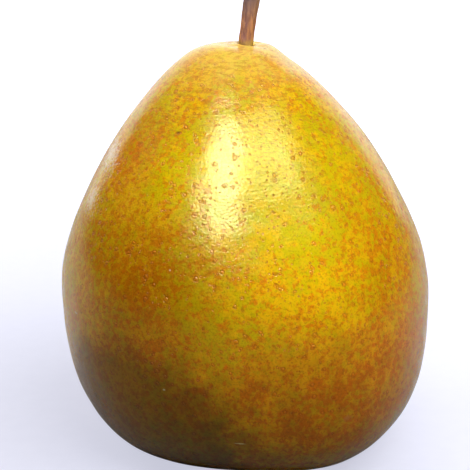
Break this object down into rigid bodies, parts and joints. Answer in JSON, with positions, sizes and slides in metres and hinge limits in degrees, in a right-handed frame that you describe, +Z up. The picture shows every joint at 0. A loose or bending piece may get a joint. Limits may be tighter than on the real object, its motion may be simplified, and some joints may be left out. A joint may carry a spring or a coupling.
{
  "type": "pear",
  "caption": "Short, broad dessert pear with mottled golden-green skin and a woody stem, standing upright on its lobed calyx end.",
  "frame": {"origin": "on the table, under the middle of the fruit's box without the stem's overhang", "axes": "+Z up along the fruit from its calyx end to its stem, -Y towards the side that is seen from the front, +X to the right of it"},
  "size_m": [0.0782, 0.0782, 0.1044],
  "materials": {
    "skin": "waxy semi-gloss fruit skin, golden green with rust-orange lenticels and an olive-brown shaded side",
    "stem": "matt woody stem, orange-brown, greyer towards its tip",
    "sepal": "matt, dry and shrivelled",
    "stamen": "matt, dry"
  },
  "bodies": {
    "root": {"pear_body": "skin", "stem": "stem", "sepal_1": "sepal", "sepal_2": "sepal", "sepal_3": "sepal", "sepal_4": "sepal", "sepal_5": "sepal", "stamen_tuft": "stamen"}
  },
  "joints": []
}
